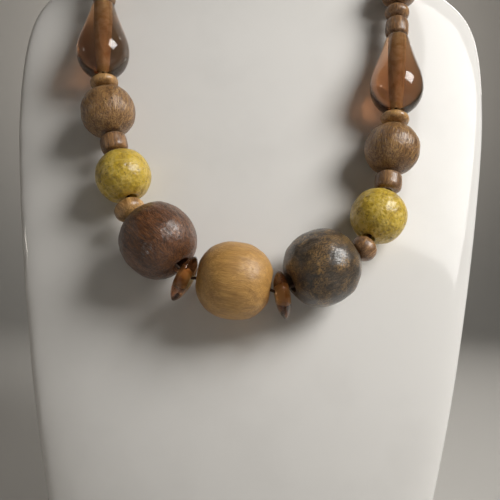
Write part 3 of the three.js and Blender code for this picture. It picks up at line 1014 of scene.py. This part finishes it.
@dataclass
class SoftLight:
    """A square light that faces the beads.

    Args:
        name: the light's name.
        direction: from the beads towards the light.
        away: its distance, below zero for one beyond the beads that shines away from them.
        size: its side.
        watts: its power.
        colour: its sRGB hex colour.
        spin_degrees: its turn about its own beam.
        spread_degrees: width of its beam.
    """

    name: str
    direction: tuple[float, float, float]
    away: float
    size: float
    watts: float
    colour: str
    spin_degrees: float = 0.0
    spread_degrees: float = 110.0

    def place(self, target: tuple[float, float, float]) -> None:
        """Set the light.

        Args:
            target: the point that it is aimed at.
        """
        data = bpy.data.lights.new(self.name, "AREA")
        data.shape = "SQUARE"
        data.size = self.size
        data.energy = self.watts
        data.color = linear(self.colour)[:3]
        data.spread = math.radians(self.spread_degrees)
        lamp = bpy.data.objects.new(self.name, data)
        lamp.visible_camera = False
        bpy.context.collection.objects.link(lamp)
        aim = Vector(self.direction).normalized()
        turn = aim.to_track_quat("Z", "Y").to_matrix().to_4x4()
        spin = Matrix.Rotation(math.radians(self.spin_degrees), 4, "Z")
        lamp.matrix_world = Matrix.Translation(Vector(target) + aim * self.away) @ turn @ spin
        LOG.info("%s: %.2f W", self.name, self.watts)


# A key light high on the right, a pale wall and a small lamp on the left, and two lights behind
SOFT_LIGHTS = [
    SoftLight("key", (0.7, -0.46, 0.62), 0.75, 0.4, 2.42, "fffdf9", spin_degrees=45.0),
    SoftLight("left_wall", (-1.0, -0.2, 0.2), 1.0, 0.9, 1.7, "fff0e0"),
    SoftLight("left_lamp", (-1.0, -0.16, 0.2), 0.8, 0.06, 0.06, "fff4e6"),
    SoftLight("back_fill", (0.35, 1.0, 0.62), 0.65, 0.4, 0.8, "fffaf4"),
    SoftLight("backdrop_lamp", (0.0, -0.9, -0.42), -0.3, 0.4, 1.5, "fff8f0"),
]


@dataclass
class Studio:
    """Floor, backdrop, lights, dim room and the camera.

    Args:
        eye: the camera's place.
        view_degrees: its view angle.
        look_down_degrees: its tilt below level.
        roll_degrees: its turn about the line of sight.
        target: what the lights are aimed at.
        floor_size: side of the paper's floor.
        floor_drop: how far it lies below the bust's foot.
        rear: what lies further back is the paper's rear edge.
        rise: height of the backdrop.
        bend_radius: the paper's bend between the two.
        bend_steps: faces in the bend.
        room_colour: sRGB hex colour of the room.
        room_heights: heights of view between which the room goes from dim to light.
        room_glow: its strength at both.
    """

    eye: tuple[float, float, float] = (0.001, -0.2557, 0.1173)
    view_degrees: float = 40.0
    look_down_degrees: float = 2.0
    roll_degrees: float = 1.6
    target: tuple[float, float, float] = (0.0, -0.03, 0.14)
    floor_size: float = 1.6
    floor_drop: float = 0.0003
    rear: float = 0.5
    rise: float = 2.5
    bend_radius: float = 0.3
    bend_steps: int = 16
    room_colour: str = "dedddb"
    room_heights: tuple[float, float] = (-0.2, 0.9)
    room_glow: tuple[float, float] = (0.012, 0.04)

    def camera(self) -> None:
        """Set the camera at the photograph's angle and framing."""
        data = bpy.data.cameras.new("camera")
        data.sensor_fit = "HORIZONTAL"
        data.angle = math.radians(self.view_degrees)
        data.clip_start = 0.01
        camera = bpy.data.objects.new("camera", data)
        bpy.context.collection.objects.link(camera)
        tilt = Matrix.Rotation(math.radians(90 - self.look_down_degrees), 4, "X")
        roll = Matrix.Rotation(math.radians(self.roll_degrees), 4, "Z")
        camera.matrix_world = Matrix.Translation(self.eye) @ tilt @ roll
        bpy.context.scene.camera = camera

    def floor(self) -> None:
        """Lay the pale paper that sweeps up behind the bust."""
        bpy.ops.object.select_all(action="DESELECT")
        bpy.ops.mesh.primitive_plane_add(size=self.floor_size, location=(0, 0, -self.floor_drop))
        sweep = bpy.context.active_object
        sweep.name = "paper_sweep"
        for edge in sweep.data.edges:
            edge.select = min(sweep.data.vertices[i].co.y for i in edge.vertices) > self.rear
        for vertex in sweep.data.vertices:
            vertex.select = vertex.co.y > self.rear
        bpy.ops.object.mode_set(mode="EDIT")
        bpy.ops.mesh.extrude_region_move(TRANSFORM_OT_translate={"value": (0, 0, self.rise)})
        bpy.ops.object.mode_set(mode="OBJECT")
        bend = sweep.modifiers.new("bend", "BEVEL")
        bend.width = self.bend_radius
        bend.segments = self.bend_steps
        select_only(sweep)
        bpy.ops.object.modifier_apply(modifier=bend.name)
        bpy.ops.object.shade_smooth()
        bpy.ops.object.transform_apply(location=True, rotation=True, scale=True)
        sweep.data.materials.append(StudioPaper().build())

    def room(self) -> None:
        """Light the dim room, a little lighter towards its ceiling."""
        world = bpy.data.worlds.new("room")
        bpy.context.scene.world = world
        world.use_nodes = True
        tree = world.node_tree
        tree.nodes.clear()
        aim = add_node(tree, "TexCoord").outputs["Generated"]
        upward = add_node(tree, "SeparateXYZ", inputs={0: aim}).outputs["Z"]
        lit = add_node(tree, "MapRange", inputs={
            "Value": upward, "From Min": self.room_heights[0], "From Max": self.room_heights[1],
            "To Min": self.room_glow[0], "To Max": self.room_glow[1]}).outputs[0]
        glow = add_node(tree, "Background", inputs={"Color": linear(self.room_colour), "Strength": lit})
        add_node(tree, "OutputWorld", inputs={"Surface": glow.outputs[0]})
        bpy.context.scene.view_settings.view_transform = "Standard"

    def build(self) -> None:
        """Set up the whole studio."""
        self.camera()
        self.floor()
        for light in SOFT_LIGHTS:
            light.place(self.target)
        self.room()
        LOG.info("studio: set")


def main() -> None:
    """Build the studio, the bust and the necklace."""
    logging.basicConfig(level=logging.INFO, format="%(name)s: %(message)s")
    Studio().build()
    Bust(GlossPlastic().build()).build()
    Necklace().build()


if __name__ == "__main__":
    main()
